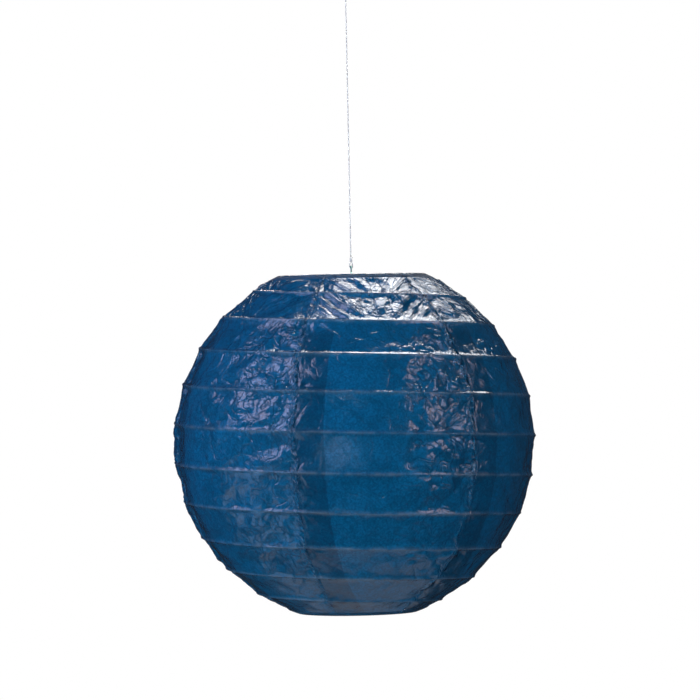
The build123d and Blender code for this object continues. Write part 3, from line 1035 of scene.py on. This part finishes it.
def mix_wire(name, colour, dull_colour, roughness):
    """Drawn wire with fine lines, dull patches and small pits."""
    wire = recipe(name)
    place = wire.node("TexCoord", {}, {}, "Object")
    patches, lines = wire.noise(place, PATCHES, 4.0), wire.noise(place, DRAWN_LINES)
    tone = wire.blend(patches.ranged(0.4, 0.65), colour, dull_colour)
    rough = patches.ranged(0.35, 0.65, roughness, roughness + 0.2) + lines * 0.08
    normal = wire.node("Bump", {}, {"Strength": 0.3, "Distance": LINE_RELIEF, "Height": lines})
    surface = wire.node("BsdfPrincipled", {}, {
        "Base Color": tone, "Metallic": 1.0, "Roughness": rough, "Normal": normal,
    })
    return wire.finish(surface)


steel = mix_wire("drawn_steel", (0.55, 0.56, 0.58, 1), (0.33, 0.33, 0.34, 1), 0.28)
# painted reflection: the zinc's blue-green colour stands for the blue paper mirrored in it
zinc = mix_wire("zinc_painted_reflection", (0.28, 0.5, 0.45, 1), (0.14, 0.33, 0.3, 1), 0.3)
paint(rib, steel)
for node in ("top_rim_ring", "bottom_rim_ring"):
    paint(frame["nodes"][node], steel)
paint(frame["nodes"]["expander"], zinc)
print(steel.name, "on the rings and the rib,", zinc.name, "on the expander")

# %% Mix the nylon
CLOUDS = 300.0           # to a metre
PALE_NYLON, PALER_NYLON = (0.48, 0.55, 0.6, 1), (0.58, 0.64, 0.68, 1)


def mix_nylon():
    """Clear nylon, faintly clouded along its length."""
    nylon = recipe("clear_nylon")
    cloud = nylon.noise(nylon.node("TexCoord", {}, {}, "Object"), CLOUDS)
    surface = nylon.node("BsdfPrincipled", {}, {
        "Base Color": nylon.blend(cloud.ranged(0.35, 0.65), PALE_NYLON, PALER_NYLON),
        "Roughness": cloud.ranged(0.3, 0.7, 0.2, 0.3), "IOR": 1.53, "Transmission Weight": 0.3,
    })
    return nylon.finish(surface)


clear_nylon = mix_nylon()
for piece in pieces_of_line.values():
    paint(piece, clear_nylon)
print(clear_nylon.name, "on", len(pieces_of_line), "pieces")

# %% [markdown]
# ## Studio
# The lantern hangs well above a plain pale floor, which is lit by its own glow and sends no light
# back, so that every view has the same even ground. All the lights are plain soft discs. Glossy
# paper shows the lights more than it shows its own colour, so each one is there for the part that
# mirrors it. The overhead one, behind the lantern, is mirrored only by the paper near the top, breaks
# up in the folds there and adds nothing else. The back lamps draw a thin bright edge, the ones to the
# left and right give the side panels their sheen, and the low ones show the underside. The light that
# brings out the paper's own blue comes from the front, and another does it for the back. Both are
# kept out of the reflections, as a polarising filter would do. The world is white to the eye, and
# through clear nylon, but gives only a little light of its own.

# %% Set up the floor
FLOOR_HEIGHT, FLOOR_REACH = -2.6, 20.0
square = ((-1, -1), (1, -1), (1, 1), (-1, 1))
corners = [(x * FLOOR_REACH, y * FLOOR_REACH, FLOOR_HEIGHT) for x, y in square]
floor = add_mesh("floor", corners, [(0, 1, 2, 3)])
plaster = recipe("pale_floor")
speckle = plaster.node("TexNoise", {}, {"Scale": 6.0, "Detail": 3.0})
floor_tone = plaster.blend(speckle, (0.6, 0.59, 0.58, 1), (0.65, 0.64, 0.63, 1))
paint(floor, plaster.finish(plaster.node("BsdfPrincipled", {}, {
    "Base Color": floor_tone, "Roughness": 0.8, "Emission Color": floor_tone, "Emission Strength": 1.0,
})))
floor.visible_glossy = floor.visible_diffuse = False
print(f"floor {-FLOOR_HEIGHT} m under the hook")


# %% Hang the lights
def soft_light(name, azimuth, elevation, distance, size, brightness, colour=(1, 1, 1), mirrored=True):
    """A round soft light at a direction from the lantern's middle. Its brightness is per area."""
    data = bpy.data.lights.new(name, "AREA")
    data.shape, data.size, data.color = "DISK", size, colour
    data.energy = brightness * pi * pi * (size / 2) ** 2
    lamp = bpy.data.objects.new(name, data)
    turn, lift = radians(azimuth), radians(elevation)
    away = Vector((cos(turn) * cos(lift), sin(turn) * cos(lift), sin(lift)))
    lamp.location = Vector((0, 0, ball_centre * MM)) + away * distance
    lamp.rotation_euler = (-away).to_track_quat("-Z", "Y").to_euler()
    lamp.visible_glossy = mirrored
    bpy.context.scene.collection.objects.link(lamp)
    return lamp


COOL, WARM, WARM_WHITE = (0.76, 0.7, 1.0), (1.0, 0.76, 0.8), (1, 0.9, 0.86)
PAPER_LIGHT_SPREAD = radians(24)
overhead = soft_light("overhead", 72, 66, 1.6, 0.75, 19.5)
overhead.visible_diffuse = False
soft_light("back lamp", 90, 24, 2.2, 0.55, 10)
soft_light("back right", 57, 46, 1.8, 0.75, 9)
soft_light("left", 202, 32, 1.7, 1.15, 6.5, COOL)
soft_light("low left", 195, -36, 1.7, 1.1, 1.1)
soft_light("right", 332, 20, 1.8, 1.1, 5.0, WARM)
soft_light("paper light", 255, -5, 3.0, 2.0, 1.0, mirrored=False).data.spread = PAPER_LIGHT_SPREAD
soft_light("back fill", 80, 5, 3.0, 2.0, 1.0, mirrored=False)
low_card = soft_light("low card", 90, -78, 0.7, 0.8, 0.55, WARM_WHITE)
low_card.visible_camera = False
print(len(bpy.data.lights), "lights")

# %% Light the room
room = Recipe(bpy.data.worlds.new("studio"))
camera_ray, through_ray, diffuse_ray = (
    room.node("LightPath", {}, {}, f"Is {kind} Ray") for kind in ("Camera", "Transmission", "Diffuse")
)
seen = camera_ray.math("MAXIMUM", through_ray - diffuse_ray)
faint, white = (
    room.node("Background", {}, {"Color": colour, "Strength": strength})
    for colour, strength in (((0.55, 0.55, 0.6, 1), 0.05), ((1, 1, 1, 1), 1.0))
)
bpy.context.scene.world = room.finish(room.node("MixShader", {}, {0: seen, 1: faint, 2: white}), "World")
bpy.context.scene.view_settings.view_transform = "Standard"
print("the world is white to look at, and faint as a light")
